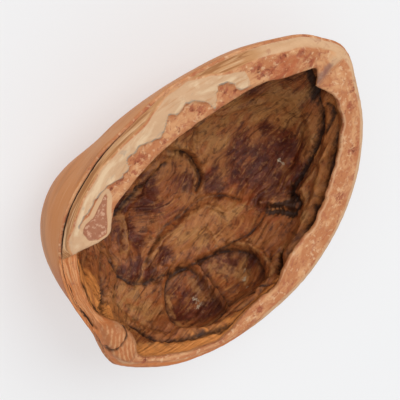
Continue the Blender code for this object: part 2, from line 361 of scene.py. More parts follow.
# The fold at the tip runs along X: where it lies, where it starts and where it dies away
FOLD_Y, FOLD_HALF_WIDTH, FOLD_DEPTH = -0.05, 0.55, 0.45
FOLD_STARTS, FOLD_FADES = (15, 17), (19, 22.5)
at_fold = smooth_bump((rim_y - FOLD_Y) / FOLD_HALF_WIDTH) * ease(rim_x, *FOLD_STARTS)
rim_height = rim_height - FOLD_DEPTH * at_fold * (1.1 - ease(rim_x, *FOLD_FADES)) * lifted

# Outline of the knob at the stalk end, in mm
KNOB = (
    (-19.8, 5.2), (-19.6, 4.3), (-18.8, 2.9), (-18.7, 1.55), (-18.95, 0.3), (-19.4, -0.6), (-20.2, -1.3),
    (-21.0, -1.7), (-21.9, -1.65), (-22.4, -0.6), (-22.5, 0.6), (-22.4, 1.9), (-21.8, 2.65), (-20.9, 3.7),
    (-20.4, 4.55),
)
KNOB_HEIGHT = 0.95
# Clefts of the knob: one across it, one on the slope above it, and a short one where the first runs out.
# Way, half width, depth, and darkness of the painted shade in the cleft
KNOB_CLEFTS = (
    (((-22.1, 1.9), (-21.55, 1.4), (-20.7, 1.1), (-19.6, 1.13), (-19.0, 1.4), (-18.7, 1.9)), 0.3, 0.55, 1.0),
    (((-20.3, 6.8), (-20.5, 5.4), (-20.9, 3.9)), 0.42, 0.35, 0.6),
    (((-21.7, 2.1), (-22.0, 1.5)), 0.5, 0.3, 0.8),
)
# Way of the fibres of the knob, across which its stripes follow each other
KNOB_GRAIN = (0.62, -0.78)
FIBRE_PITCH, FIBRE_SWAY, FIBRE_HEIGHT = 13, 3, 0.1
# Crown of the low strip left by the broken piece, and depth of the torn fibres at the end of the whole part
BROKEN_CROWN, FIBRE_PATCH_DEPTH = 0.35, 0.12
FIBRE_PATCH = (
    (-12.5, 13.1), (-12.9, 11.9), (-12.2, 10.95), (-11.2, 10.55), (-10.3, 11.2), (-9.2, 12.2), (-7.8, 13.2),
    (-7.6, 13.6), (-9.2, 13.3), (-10.6, 13.0), (-11.6, 13.3),
)


def to_stretch(x, y, ax, ay, bx, by):
    """Distance to one straight stretch from a to b."""
    dx, dy = bx - ax, by - ay
    share = np.clip(((x - ax) * dx + (y - ay) * dy) / (dx**2 + dy**2), 0, 1)
    return np.hypot(x - ax - share * dx, y - ay - share * dy)


def within(outline, x, y):
    """Signed distance into a closed flat outline: positive inside, negative outside."""
    corners = np.array(outline, float)
    nearest = np.full(np.shape(x), 1e9)
    inside = np.zeros(np.shape(x), bool)
    for (ax, ay), (bx, by) in zip(corners, np.roll(corners, -1, 0)):
        nearest = np.minimum(nearest, to_stretch(x, y, ax, ay, bx, by))
        if ay != by:
            inside ^= ((ay > y) != (by > y)) & (x < (bx - ax) * (y - ay) / (by - ay) + ax)
    return np.where(inside, nearest, -nearest)


def to_line(line, x, y):
    """Distance to an open flat line."""
    nearest = np.full(np.shape(x), 1e9)
    for (ax, ay), (bx, by) in zip(line, line[1:]):
        nearest = np.minimum(nearest, to_stretch(x, y, ax, ay, bx, by))
    return nearest


in_knob = within(KNOB, rim_x, rim_y)
knob = ease(in_knob, -0.3, 0.7) * ease(lifted, 0.1, 0.6)
across_knob = rim_x * KNOB_GRAIN[0] + rim_y * KNOB_GRAIN[1]
knob_fibre = 0.5 + 0.5 * np.sin(across_knob * FIBRE_PITCH + FIBRE_SWAY * ragged(31, rim_y + rim_x, 0.8))
rim_height = rim_height + (KNOB_HEIGHT + FIBRE_HEIGHT * knob_fibre) * knob
knob_cleft_shade = np.zeros_like(rim_radius)
for way, half_width, cleft_depth, darkness in KNOB_CLEFTS:
    near = smooth_bump(to_line(way, rim_x, rim_y) / half_width) * ease(lifted, 0.1, 0.5)
    rim_height = rim_height - cleft_depth * near
    knob_cleft_shade = np.maximum(knob_cleft_shade, darkness * near)
rim_height = rim_height + BROKEN_CROWN * broken * (1 - knob) * smooth_bump((rim_share - 0.55) / 0.5)
into_patch = within(FIBRE_PATCH, rim_x, rim_y)
fibre_patch = ease(into_patch, -0.12, 0.12) * on_cream_side
fibre_ring = smooth_bump((into_patch + 0.3) / 0.5) * on_cream_side
# Rust-red blotches of the seam: azimuth, share of the way from crest to lip, half width in mm
RUST_SPOTS = (
    (22, 0.2, 1.0), (24.5, 0.6, 1.2), (18, 0.65, 1.3), (15, 0.2, 0.9), (9, 0.65, 1.0), (28, 0.6, 1.0),
    (31, 0.3, 0.9), (20, 0.9, 1.0), (12, 0.4, 0.8), (349.6, 0.1, 0.9), (344.7, 0.44, 1.0),
    (327.7, 0.33, 1.1), (306, 0.43, 1.0), (60, 0.65, 0.9), (64, 0.5, 0.8), (98, 0.62, 1.0),
    (102, 0.62, 0.9), (113, 0.5, 0.9), (117, 0.45, 0.7), (45, 0.6, 0.7), (40.5, 0.7, 0.6),
    (47, 0.45, 0.6), (121, 0.3, 0.6), (108, 0.75, 0.6), (148, 0.5, 0.8), (86, 0.75, 0.6), (76, 0.75, 0.6),
    (190, 0.5, 0.8), (236, 0.5, 0.8),
)
# How much further than its half width each kind of soft mark reaches
RUST_SPREAD, SPOT_SPREAD, LINE_SPREAD = 1.4, 1.3, 1.2
rust = np.zeros_like(rim_radius)
for spot_turn, spot_share, half_width in RUST_SPOTS:
    along = np.radians((turn - spot_turn + 180) % 360 - 180) * rim_radius
    across = (across_seam - spot_share) * band_width
    rust = np.maximum(rust, smooth_bump(np.hypot(along, across) / (RUST_SPREAD * half_width)))
# The outer edge is paler at the tip and down the right-hand side
over_groove = ease(rim_share, 0.14, 0.2)
pale_edge = (1 - ease(across_seam, -0.15, 0.15)) * over_groove * (1 - stretch(*DULL_SIDE))
pale_tip = smooth_bump((turn + 2) / 9) * (1 - ease(across_seam, 0.1, 0.7))
pale_edge = np.maximum(pale_edge, pale_tip * over_groove)
rim_height = rim_height - FIBRE_PATCH_DEPTH * fibre_patch
rim = np.stack((rim_x, rim_y, rim_height), -1)
print("seam rows:", rim.shape[0], "knob top, mm over the seam:", round(float(rim_height.max()), 2))

# %% [markdown]
# ## The hollow
# Inside, the shell keeps a cast of the kernel: bowls where its lobes lay, folds between them, and torn
# leaves of the thin wall that parted it. Bowls with a crisp border are given by their outline, and cracks by
# their way, all read as azimuth and dip. Each is a distance from a line, so its border can be as sharp as
# the rows allow.

# %% Bowls with an outline, steps and cracks
# Outline, depth at its border, further depth in the middle, width of the border in degrees
OUTLINED_BOWLS = (
    (((203.5, 32), (203.2, 27.5), (203.5, 19), (205.4, 15.2), (208.5, 12.5), (212.4, 9.5), (218.4, 10.5),
      (224, 12.5), (226.8, 16.6), (226.9, 25.7), (225.6, 33.2), (223.7, 40), (218.5, 45), (212.6, 44.5),
      (208, 42), (204.8, 38.5)), 0.75, 1.0, 1.2),
    (((224.2, 46), (235.4, 46.3), (244.5, 44), (250, 40.5), (254.3, 35.5), (255.3, 30), (254.3, 25),
      (252, 18.5), (248, 14), (243.5, 13.6), (238.6, 14), (233.3, 15.2), (227.2, 15.1), (227.3, 25),
      (226, 33.5), (224, 40.5)), 0.75, 1.0, 1.2),
)
# The ridge between the two bowls
DIVIDER = ((227, 15), (227.1, 25), (225.8, 34), (223.8, 41))
# The long crack beside the keel, and the veins, which stand proud and are paler than the wall
LONG_CRACK = (
    (171, 37), (178, 36), (184, 35), (193, 36.5), (202, 40), (212, 43), (225, 44.5), (239, 45.5),
    (250, 44), (262, 41.5), (273, 40.5), (281, 40), (288, 41),
)
KEEL_VEIN = (
    (190.8, 41.7), (193, 49.3), (197, 55.1), (205.9, 59.6), (214.7, 63.7), (227.4, 66.1), (247.7, 67.2),
    (255.7, 63.7), (259.3, 58.2),
)
DEEPEST_VEIN = ((10.5, 85.5), (306.8, 84.8), (276.3, 82.2), (255.4, 79.8))
STALK_VEIN = ((160, 54.1), (167.1, 52.7), (173.6, 49.8), (176.9, 45.1), (177.2, 42.4))
SHORT_VEIN = ((235.8, 58.3), (239.4, 53.4), (240.2, 48.5))
RIGHT_VEIN = ((333, 7), (331, 8.6), (328, 10.4), (323.5, 13), (315.8, 19.3), (309, 22.6), (302, 26))
TIP_VEIN = ((15, 55), (2, 48.8), (358, 43.7), (355, 39), (355, 30), (352, 20))
# Folds and torn gaps, darkened with painted shade: way, half width, depth, and darkness of the painted shade.
# The first has no depth and is only painted shade along the long crack
CRACKS = (
    (LONG_CRACK[:8], 4.5, 0.0, 0.42),
    (((45.8, 82.1), (27.4, 82.6), (358.5, 83.5), (310.9, 82.5), (280.7, 79.7), (259.9, 77.2),
      (246.5, 76)), 1.3, 0.35, 0.85),
    (LONG_CRACK, 1.4, 0.5, 0.85),
    (((189, 41), (190, 46), (193, 53.2), (196, 59.8), (204.5, 63.7), (216.3, 67.4), (229.5, 70.3),
      (245, 71.7), (260, 70), (274, 64), (279, 56)), 2.0, 0.4, 0.6),
    (((180, 32), (188, 35), (196, 36.6), (201.4, 37.8)), 1.1, 0.25, 0.6),
    (((349.3, 15.6), (344.1, 15), (338.6, 16.5), (332.3, 18.2), (326.6, 20.6), (320.7, 23.5),
      (313.4, 26.5), (305.1, 30), (298.4, 33)), 3.0, 1.0, 1.0),
    (((347.5, 8.1), (344.2, 7.9), (340.8, 8.3), (337.5, 10.3), (334, 12.5)), 1.6, 0.4, 0.85),
    (((344, 12), (338, 13.5), (333.5, 15)), 3.0, 0.4, 0.45),
    (((214, 9.5), (218.7, 10.2), (225.4, 14.8), (233, 15), (237.4, 14.1), (241.4, 11.4), (245.9, 9.9),
      (250, 5)), 1.5, 0.35, 0.85),
    (((266, 19.7), (261.4, 15.8), (257.9, 12.3), (254.4, 3)), 2.6, 0.7, 1.0),
    (((298.4, 32.6), (296.7, 27.1), (294.9, 24.5), (288.9, 25.6), (286.7, 26.9), (285.6, 33.3),
      (282.1, 37.9)), 3.1, 0.6, 1.2),
    (((286.8, 38.4), (290, 34), (293.3, 30.5), (297, 31)), 3.0, 0.5, 1.2),
    (((294, 29), (290, 28.5)), 4.0, 0.6, 1.2),
    (((335, 6.5), (320, 9.5), (308.5, 10.4), (300, 9.5), (296.7, 11.5), (291, 10), (285, 10.5), (276, 8)),
     2.8, 0.7, 1.1),
    (((266, 19), (260, 13), (254, 3), (249, 2), (238, 2), (228, 2), (219, 2)), 2.0, 0.8, 0.85),
    (((261, 25), (256, 18), (249, 11), (240, 8), (229, 8)), 1.8, 0.4, 0.5),
    (((170, 42), (175, 39), (179, 37), (180, 31), (183, 27), (189, 25), (194, 21), (198, 16), (202, 14)),
     2.2, 0.4, 0.4),
    (((173.5, 24), (171.7, 13), (169.5, 4)), 5.0, 1.3, 0.9),
    (((164, 43), (166, 38), (169, 30), (172.6, 23)), 1.1, 0.3, 0.6),
    (((189, 19), (191, 17), (192.6, 12.5), (195, 9.5), (202.1, 7.8), (209.6, 6.1), (215.2, 5.6),
      (220.5, 3.8)), 3.0, 0.5, 0.85),
    (((142.5, 2), (147, 6), (150, 10)), 1.4, 0.3, 0.7),
    (((142.5, 1.5), (150, 3), (156, 3), (161, 3), (166, 1.5)), 1.4, 0.4, 0.8),
    (((165, 39), (167, 32), (169, 26), (172, 20)), 1.5, 0.25, 0.35),
    (((160, 34), (161, 26), (162, 18), (163, 8)), 1.6, 0.35, 0.5),
    (((155, 30), (156, 20), (157, 9)), 1.2, 0.15, 0.2),
    (((4.5, 0.5), (1.5, 3.5), (355, 9), (349.3, 15.6)), 2.4, 0.6, 1.0),
    (((0, 14), (355.6, 15.5), (351.3, 16.6), (348.9, 17.2)), 3.0, 0.6, 1.2),
    (((352, 18), (345, 24), (330, 30), (315, 36)), 2.6, 0.3, 0.3),
    (((62, 60), (45, 62), (30, 68), (19, 77), (32, 76)), 2.4, 0.4, 0.45),
    (((79, 77), (53, 80.5), (10, 84), (300, 83), (270, 79), (250, 78)), 3.2, 0.55, 0.55),
    (((157, 53), (154, 57), (149, 61), (143, 64), (146, 70), (132, 76), (121, 79), (113, 81)),
     2.2, 0.3, 0.8),
)
# Rounded ridges beside the cracks, which catch the light: way, half width, height
RIDGES = (
    (((176, 33), (190, 33), (203, 43), (214, 47), (228, 48)), 3.0, 0.35),
    (DIVIDER, 1.6, 0.5),
    (DEEPEST_VEIN, 1.6, 0.3),
    (STALK_VEIN, 2.2, 0.35),
    (((204, 42), (201, 36), (200.5, 28), (201, 19), (204, 12), (212, 7)), 2.4, 0.6),
    (((248, 45), (256, 37), (257.5, 28), (256, 18), (249, 10), (242, 10.5)), 2.2, 0.7),
    (((75, 79), (53, 76), (35, 78), (5, 80), (335, 80)), 4.0, 0.55),
    (((158, 57), (153, 61), (147, 66), (136, 73), (123, 77)), 3.0, 0.4),
    (((292, 29), (290, 35), (286, 44)), 3.0, 0.6),
    (((303, 24), (299, 20), (292, 18), (285, 19)), 2.4, 0.5),
    (KEEL_VEIN, 2.2, 0.45),
    (SHORT_VEIN, 1.2, 0.25),
    (RIGHT_VEIN, 1.8, 0.4),
    (TIP_VEIN, 2.2, 0.4),
    (((160, 56), (165, 54.5), (170.4, 52.3), (176, 46.8)), 2.5, 0.35),
    (((355, 3), (350.5, 6.5), (348, 8.5)), 3.0, 0.6),
)
# The groove just inside the border of an outlined bowl, darkened with painted shade: half width in degrees,
# depth, and darkness of the painted shade
BOWL_LINE_HALF_WIDTH, BOWL_LINE_DEPTH, BOWL_LINE_DARKNESS = 1.3, 0.3, 0.85
# Degrees in from its border over which an outlined bowl deepens, and over which it is shaded
BOWL_DEEPENS, BOWL_SHADED = 11, 7
# How far the lining may stand proud of the plain inner wall, in mm
MOST_BUILD_UP = 2.2
print("bowls:", len(OUTLINED_BOWLS), "cracks:", len(CRACKS), "ridges:", len(RIDGES))


# %% Rules of the hollow
def bowl_depth(look, azimuth, dip, half_length, half_width, turned, depth, edge_power):
    """Depth of one broad bowl, an ellipse on the wall with a crisp or a soft border."""
    middle, level_way = direction(azimuth, dip), direction(azimuth + 90, 0)
    upright = np.cross(level_way, middle)
    c, s = np.cos(np.radians(turned)), np.sin(np.radians(turned))
    along = look @ (c * level_way + s * upright) / np.sin(np.radians(half_length))
    across = look @ (c * upright - s * level_way) / np.sin(np.radians(half_width))
    ahead = look @ middle > 0
    return depth * np.clip(1 - np.hypot(along, across) ** edge_power, 0, 1) * ahead


def to_way(look, way):
    """Degrees from each direction to the nearest point of a way of (azimuth, dip) points."""
    nearest = np.full(look.shape[:-1], 4.0)
    stops = [direction(a, d) for a, d in way]
    for here, there in zip(stops, stops[1:]):
        step = there - here
        share = np.clip((look - here) @ step / (step @ step), 0, 1)
        nearest = np.minimum(nearest, np.linalg.norm(look - here - share[..., None] * step, axis=-1))
    return np.degrees(nearest)


def into_outline(look, outline):
    """Degrees into a closed outline of (azimuth, dip) points, negative outside it."""
    corners = np.stack([direction(a, d) for a, d in outline])
    middle = corners.mean(0) / np.linalg.norm(corners.mean(0))
    level_way = np.cross((0, 0, 1), middle)
    level_way = level_way / np.linalg.norm(level_way)
    upright = np.cross(middle, level_way)
    flat = np.degrees(np.stack((corners @ level_way, corners @ upright), -1))
    x, y = np.degrees(look @ level_way), np.degrees(look @ upright)
    return np.where(look @ middle > 0, within(flat, x, y), -90)


hollow_dip = 90 * np.arange(HOLLOW_ROWS + 1)[:, None] / HOLLOW_ROWS + 0 * turn
look = direction(turn, hollow_dip)
wobble = 0.7 * np.sin(look @ (31, 17, 23)) + 0.5 * np.sin(look @ (-53, 61, 47))
wobble = wobble + 0.3 * np.sin(look @ (97, -89, 113))
crumble = np.sin(look @ (131, -117, 143) + wobble) * np.sin(look @ (-109, 151, 67) - wobble)
outer_wall = belly_radius(turn, hollow_dip)
depth = np.zeros_like(hollow_dip)
for bowl in BOWLS:
    depth = np.maximum(depth, bowl_depth(look, *bowl))
for way, half_width, height in FOLDS:
    depth = depth - height * smooth_bump(to_way(look, way) / half_width)
bowl_line = np.zeros_like(depth)
bowl_shade = np.zeros_like(depth)
for outline, edge_depth, middle_depth, border_width in OUTLINED_BOWLS:
    into = into_outline(look, outline)
    edge = ease(into, -0.3 * border_width, 0.7 * border_width)
    depth = depth * (1 - 0.5 * edge) + edge_depth * edge + middle_depth * ease(into, 0, BOWL_DEEPENS)
    uneven = 0.86 + 0.14 * np.sin(look @ (19, -23, 29)) - 0.7 * smooth_bump(to_way(look, DIVIDER) / 3.2)
    bowl_line = np.maximum(bowl_line, uneven * smooth_bump((into - 0.7) / BOWL_LINE_HALF_WIDTH))
    bowl_shade = np.maximum(bowl_shade, edge * (1 - ease(into, 0, BOWL_SHADED)))
depth = depth + BOWL_LINE_DEPTH * bowl_line
# Darkness of the painted shade in the bowls' border grooves and, below, in the cracks
crevice_shade = BOWL_LINE_DARKNESS * bowl_line
for way, half_width, crack_depth, darkness in CRACKS:
    wandering = half_width * (1 + 0.15 * wobble + 0.4 * crumble * ease(darkness, 0.7, 0.9))
    near = smooth_bump(to_way(look, way) / wandering)
    depth = depth + crack_depth * near
    crevice_shade = np.maximum(crevice_shade, darkness * near)
for way, half_width, height in RIDGES:
    depth = depth - height * smooth_bump(to_way(look, way) / half_width)
print("deepest, mm:", round(float(depth.max()), 2), "proudest", round(float(-depth.min()), 2))

# %% Hollow rows
inner_wall = np.minimum(outer_wall - WALL + depth, outer_wall - THINNEST_WALL)
inner_wall = np.maximum(inner_wall, outer_wall - WALL - MOST_BUILD_UP)
below_lip = ease(hollow_dip, 0, LIP_BLEND_DIP)
hollow_reach = below_lip * inner_wall + (1 - below_lip) * lip
hollow = hollow_reach[..., None] * look
hollow[..., 2] += np.clip(1 - hollow_dip / (2 * LIP_BLEND_DIP), 0, 1) * rim_height[-1:]
print("hollow, mm deep:", round(float(-hollow[..., 2].min()), 1))

# %% [markdown]
# ## Marks that the finishes read
# A real shell is coloured by how it grew and broke, not evenly: cream where the seam was covered, orange-pink
# where it tore. Other marks are painted shade and light: nearly black in the cracks, clefts and grooves,
# darker round the bowls' borders, and pale where painted highlights stand for glints and lit edges. Each such
# thing is written on the mesh as a number per vertex, so the colour follows the form and travels with the
# mesh.

# %% Where the wall is lighter, redder or bare
# Soft spots of the lining: azimuth, dip and half width in degrees. The tan ones are partly the lining's paler
# coat and partly painted light: some broad ones lighten the wall under the overhanging rim, where the rim
# shades it
TAN_SPOTS = (
    (23, 63, 12), (357, 68, 10), (1, 56, 9), (351, 21, 6), (353, 27, 7), (12, 45, 10), (334, 26, 8),
    (253, 59, 7), (229, 55, 7), (57, 78, 9), (245, 30, 7), (188, 29, 8), (193, 26, 7), (290, 15, 7),
    (210, 57, 7), (270, 55, 7), (30, 52, 9), (20, 75, 9), (353, 33, 8), (352, 43, 8), (333, 28, 7),
    (310, 17, 6), (300, 20, 7), (346, 27, 7), (341, 31, 7), (343, 37, 7), (358, 32, 8), (40, 45, 12),
    (60, 40, 12), (15, 35, 12),
)
RED_SPOTS = (
    (313, 46, 12), (322, 39, 12), (301, 52, 11), (287, 45, 8), (215, 33, 8), (222, 22, 7), (241, 37, 8),
    (250, 31, 6), (154, 57, 7), (171, 53, 8), (288, 73, 10), (329, 60, 10), (165, 65, 10), (316, 36, 9),
    (311, 29, 7), (212, 25, 8), (185, 38, 6), (200, 47, 6), (305, 62, 9), (4, 23, 8), (9, 35, 8),
    (181, 52, 6), (322, 54, 6), (337, 46, 5), (196, 40, 6), (310, 55, 8), (150, 71, 9), (304, 38, 10),
    (298, 41, 8), (307, 32, 7), (225, 82, 7),
)
# Light lines along folds and torn edges: paler veins, and painted highlights where light falls on ledges and
# bowl walls. Way and half width
TAN_WAYS = (
    (((219, 40), (220.5, 34), (221.5, 27)), 2.2), (((206.5, 33), (206.3, 25), (208, 18)), 1.6),
    (((210, 14), (216, 13), (221, 15)), 1.4), (((232, 40), (238, 36), (244, 30)), 4.5),
    (((247, 10), (254, 13), (257, 20), (257.5, 28), (255, 37), (248, 44)), 1.6),
    (KEEL_VEIN[:7], 1.8), (TIP_VEIN, 2.6), (RIGHT_VEIN, 1.4),
    (((160, 52), (156.5, 56), (152, 60), (147, 64), (147.5, 71)), 0.9),
    (SHORT_VEIN, 0.9),
    (((187, 6), (192, 6), (200, 5), (215, 5), (230, 6)), 1.5),
    (DEEPEST_VEIN, 1.3), (STALK_VEIN, 2.2),
    (((135.1, 71), (141.6, 66.3), (147.9, 60.2), (156.9, 55)), 0.9),
)
# Pale flecks in the bowls and on the floor, painted highlights that stand for glints of light
GLINT_SPOTS = (
    (219.4, 27.5, 2.6), (218.3, 30.7, 1.8), (218.6, 23, 1.5), (221.5, 19.5, 1.3), (316, 42, 1.9),
    (314, 40, 1.6), (242.1, 22.8, 2.4), (243, 27.8, 2.6), (241, 18.5, 1.6), (246, 31, 1.8),
    (232, 22, 1.3),
)


def spots(places):
    """The highest of the soft spots (azimuth, dip, half width) at each point of the hollow."""
    total = np.zeros_like(hollow_dip)
    for azimuth, dip, half_width in places:
        total = np.maximum(total, smooth_bump(angle_between(look, azimuth, dip) / (half_width * SPOT_SPREAD)))
    return total


tan_mark, red_mark = spots(TAN_SPOTS), spots(RED_SPOTS)
tan_line = np.zeros_like(hollow_dip)
for way, half_width in TAN_WAYS:
    tan_line = np.maximum(tan_line, smooth_bump(to_way(look, way) / (LINE_SPREAD * half_width)))
glint_mark = spots(GLINT_SPOTS)
# The smooth wall that shows under the broken piece and on along the bottom of the right-hand wall
bare_mark = stretch(*BARE_UNDER_BREAK) * (1 - ease(hollow_dip + 3 * wobble, 14, 34))
bare_to_dip = 9 + 8 * ease(turn, 262, 285)
above_floor = 1 - ease(hollow_dip + 2 * wobble, bare_to_dip - 5, bare_to_dip + 5)
how_bare = 0.62 - 0.2 * ease(turn, 255, 275)
bare_mark = np.maximum(bare_mark, how_bare * stretch(*BARE_RIGHT_WALL) * above_floor)
print("marks: tan", round(float(tan_mark.mean()), 2), "red", round(float(red_mark.mean()), 2))

# %% Put the rows together
marks = {}
grid = np.concatenate((belly, rim[1:], hollow[1:]))
rows_of = {"belly": belly.shape[0], "rim": rim.shape[0] - 1, "hollow": hollow.shape[0] - 1}


def mark(name, belly_value=0.0, rim_value=0.0, hollow_value=0.0):
    """Writes a number, or a triple, on every vertex of the three parts."""
    width = np.shape(rim_value)[-1] if np.ndim(rim_value) == 3 else 1
    parts = []
    for value, part, cut in ((belly_value, "belly", 0), (rim_value, "rim", 1), (hollow_value, "hollow", 1)):
        shape = (rows_of[part], SEGMENTS) + ((width,) if width > 1 else ())
        value = np.asarray(value, float)
        value = value[cut:] if value.ndim >= 2 and value.shape[0] == rows_of[part] + cut else value
        parts.append(np.broadcast_to(value, shape))
    marks[name] = np.concatenate(parts)


def triple(*values):
    """Stacks three numbers per vertex."""
    return np.stack(np.broadcast_arrays(*values), -1)


belly_round = np.degrees(np.arctan2(-belly[..., 2], belly[..., 1]))
hollow_across = 0.24 * np.degrees(np.arctan2(1.5 - hollow[..., 2], hollow[..., 1]))
# The fibres run from end to end, but slantwise on the wall beside the keel
LOBE_AZIMUTH, LOBE_DIP, LOBE_SLANT = 160, 64, 45
from_lobe = angle_between(look, LOBE_AZIMUTH, LOBE_DIP)
slant = np.radians(LOBE_SLANT) * ease(from_lobe, 36, 6)
lobe_middle = np.unravel_index(np.argmin(from_lobe), from_lobe.shape)
hollow_across = hollow_across - hollow_across[lobe_middle]
hollow_along = hollow[..., 0] - hollow[..., 0][lobe_middle]
sway = np.sin(look @ (17, 11, 13) + 2 * np.sin(look @ (5, 7, -6)))
mark("part", 0, 1, 2)
mark("grain", triple(belly[..., 0], belly_round * 0.28, 0 * belly_dip),
     triple(seam_length + 0 * rim_radius, across_seam * 3.6, rim_height),
     triple(np.cos(slant) * hollow_along + np.sin(slant) * hollow_across,
            np.cos(slant) * hollow_across - np.sin(slant) * hollow_along + 0.15 * sway, 0 * hollow_dip))
on_slope = ease(rim_share, 0.15, 0.2) * (1 - ease(across_seam, -0.03, 0.06)) * ease(before_cream, -0.1, 0.3)
plain_side = 1 - stretch(*STRIPED_SIDE)
stalk_side = stretch(*STALK_SIDE)
right_side = stretch(*RIGHT_SIDE)
stripes = on_slope * (1 - 0.6 * plain_side) * (1 - 0.7 * broken) * (1 - 0.85 * stalk_side)
fold_shade = smooth_bump((rim_y - FOLD_Y - 0.5) / 1.1) * ease(rim_x, 16.0, 17.2)
cream = np.minimum(-before_cream, -past_cream) - 4 * (1 - on_cream_side)
mark("cream", -5, cream, -5)
torn_slope = np.maximum(broken, 0.8 * on_slope * stalk_side)
mark("broken", 0.9 * ease(belly_dip, 22, 2) * stalk_side, torn_slope, 0)
mark("crevice_shade", 0, knob_cleft_shade, crevice_shade)
seam_marks = {
    "groove": smooth_bump((rim_share - 0.115) / 0.075) * groove,
    "stripes": stripes,
    "painted_fold_shade": fold_shade * (1 - ease(rim_x, 18.5, 21.5)),
    "in_cream": ease(cream, 0.0, 0.2),
    "cream_edge_shade": smooth_bump((past_cream + 0.12) / 0.3) * ease(-before_cream, 0, 0.4) * on_cream_side,
    "rust": rust,
    "pale_edge": pale_edge * (1 - 0.85 * stalk_side),
    "fibre_ring": fibre_ring,
    "edge_line": smooth_bump((rim_share - 0.2) / 0.035) * right_side,
    "lip_line": smooth_bump((rim_share - 0.92) / 0.06) * right_side,
    "apex": smooth_bump(turn_between(turn, 18) / 17) * ease(across_seam, 0.0, 0.3),
    "knob": knob,
    "knob_fibre": knob * knob_fibre,
    "fibre_patch": fibre_patch,
}
for name, values in seam_marks.items():
    mark(name, rim_value=values)
lining_marks = {
    "tan": tan_mark, "tan_line": tan_line, "bowl_shade": bowl_shade, "red": red_mark, "painted_glint": glint_mark,
    "bare": bare_mark,
}
for name, values in lining_marks.items():
    mark(name, hollow_value=values)
print("marks:", ", ".join(marks))

# %% Press the sphere into the shell
def shell_mesh():
    """A sphere whose vertices are moved to the grid's points, with the marks as attributes."""
    rows = grid.shape[0] - 1
    bm = bmesh.new()
    bmesh.ops.create_uvsphere(bm, u_segments=SEGMENTS, v_segments=rows, radius=1)
    mesh = bpy.data.meshes.new("walnut_shell_half")
    bm.to_mesh(mesh)
    bm.free()
    place = np.empty(len(mesh.vertices) * 3)
    mesh.vertices.foreach_get("co", place)
    x, y, z = place.reshape(-1, 3).T
    row = np.round((np.degrees(np.arcsin(np.clip(z, -1, 1))) + 90) / 180 * rows).astype(int)
    segment = np.round(np.degrees(np.arctan2(y, x)) % 360 / 360 * SEGMENTS).astype(int) % SEGMENTS
    point = grid[row, segment]
    point[:, 2] = np.maximum(point[:, 2] + RIM_HEIGHT, 0)
    middle = (point[:, :2].min(0) + point[:, :2].max(0)) / 2
    point[:, :2] -= middle
    mesh.vertices.foreach_set("co", (point * MM).ravel())
    for name, values in marks.items():
        values = values[row, segment]
        kind, field = ("FLOAT_VECTOR", "vector") if values.ndim == 2 else ("FLOAT", "value")
        mesh.attributes.new(name, kind, "POINT").data.foreach_set(field, values.astype(np.float32).ravel())
    mesh.update()
    print("middle of the shell, mm:", middle.round(3), "vertices", len(mesh.vertices))
    return mesh, middle


fine_mesh, middle = shell_mesh()
shell = bpy.data.objects.new("walnut_shell_half", fine_mesh)
bpy.context.scene.collection.objects.link(shell)

# %% [markdown]
# ## Finishes
# All three finishes are the same stuff, dry walnut shell, but they came about differently. The skin is what
# the husk left: smooth, orange-brown, streaked from end to end. The seam is a torn face: cream and orange,
# dull and a little rough. The lining is the papery coat of the kernel, stuck to the wall: brown and
# dark red with tan veins. Each is a ground colour with thinner and thinner layers of pattern over it.

# %% Helpers for node trees
def paint(code):
    """An sRGB hex colour as linear red, green, blue and alpha."""
    part = [int(code[i:i + 2], 16) / 255 for i in (1, 3, 5)]
    return (*[c / 12.92 if c <= 0.04045 else ((c + 0.055) / 1.055) ** 2.4 for c in part], 1)


def add(tree, kind, values={}, links={}, **settings):
    """Adds a node with its settings, socket values and links."""
    node = tree.nodes.new(kind)
    for name, value in settings.items():
        setattr(node, name, value)
    for socket, value in values.items():
        node.inputs[socket].default_value = value
    for socket, source in links.items():
        tree.links.new(source, node.inputs[socket])
    return node


def layer(colour, size, on="place", kind="FBM", detail=4.0, bend=0.0, field=None, field_weight=1.0,
          pattern_weight=1.0, low=-0.1, high=0.1, strength=1.0, seed=0.0):
    """One layer of colour: it shows where its pattern, of that size in mm, and its field are high."""
    return dict(colour=colour, size=size, on=on, kind=kind, detail=detail, bend=bend, field=field,
                field_weight=field_weight, pattern_weight=pattern_weight, low=low, high=high,
                strength=strength, seed=seed)


NOISE_ROUGHNESS, LINE_SHARPNESS = 0.58, 9.0


